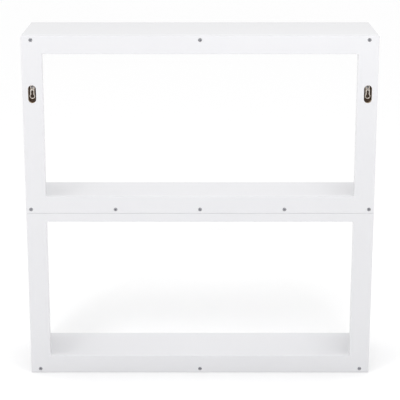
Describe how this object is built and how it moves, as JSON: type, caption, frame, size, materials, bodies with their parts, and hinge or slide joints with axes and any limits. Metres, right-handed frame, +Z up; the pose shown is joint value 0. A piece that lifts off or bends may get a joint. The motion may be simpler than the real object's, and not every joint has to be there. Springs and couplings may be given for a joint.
{
  "type": "desk hutch",
  "caption": "Low open hutch of white lacquered board with upper and lower bays, windowed back frames and keyhole hangers for standing on a desk or hanging on a wall.",
  "frame": {"origin": "middle of the footprint, on the surface that the hutch stands on", "axes": "+X to the right as seen from the open front, +Y from the open front to the back with the frames and hangers, +Z up"},
  "size_m": [0.762, 0.2, 0.766],
  "materials": {
    "white_lacquered_board": "white satin-gloss lacquer on fibreboard",
    "zinc_plated_screw_steel": "zinc plated",
    "nickel_plated_sheet_steel": "nickel plated, pressed",
    "die_cast_zinc": "as cast, tumbled",
    "white_cap_plastic": "moulded, satin",
    "beech": "raw, fluted"
  },
  "bodies": {
    "root": {"top_panel": "white_lacquered_board", "bottom_panel": "white_lacquered_board", "middle_shelf": "white_lacquered_board", "left_side_panel": "white_lacquered_board", "right_side_panel": "white_lacquered_board", "upper_back_frame": "white_lacquered_board", "lower_back_frame": "white_lacquered_board", "top_back_screws": "zinc_plated_screw_steel", "middle_back_screws": "zinc_plated_screw_steel", "bottom_back_screws": "zinc_plated_screw_steel", "left_hanger_screw": "zinc_plated_screw_steel", "right_hanger_screw": "zinc_plated_screw_steel", "left_hanger_plate": "nickel_plated_sheet_steel", "right_hanger_plate": "nickel_plated_sheet_steel", "top_cam_bolts": "zinc_plated_screw_steel", "top_cam_locks": "die_cast_zinc", "top_cam_caps": "white_cap_plastic", "top_dowels": "beech", "bottom_cam_bolts": "zinc_plated_screw_steel", "bottom_cam_locks": "die_cast_zinc", "bottom_cam_caps": "white_cap_plastic", "bottom_dowels": "beech", "shelf_cam_bolts": "zinc_plated_screw_steel", "shelf_cam_locks": "die_cast_zinc", "shelf_cam_caps": "white_cap_plastic", "shelf_dowels": "beech"}
  },
  "joints": []
}
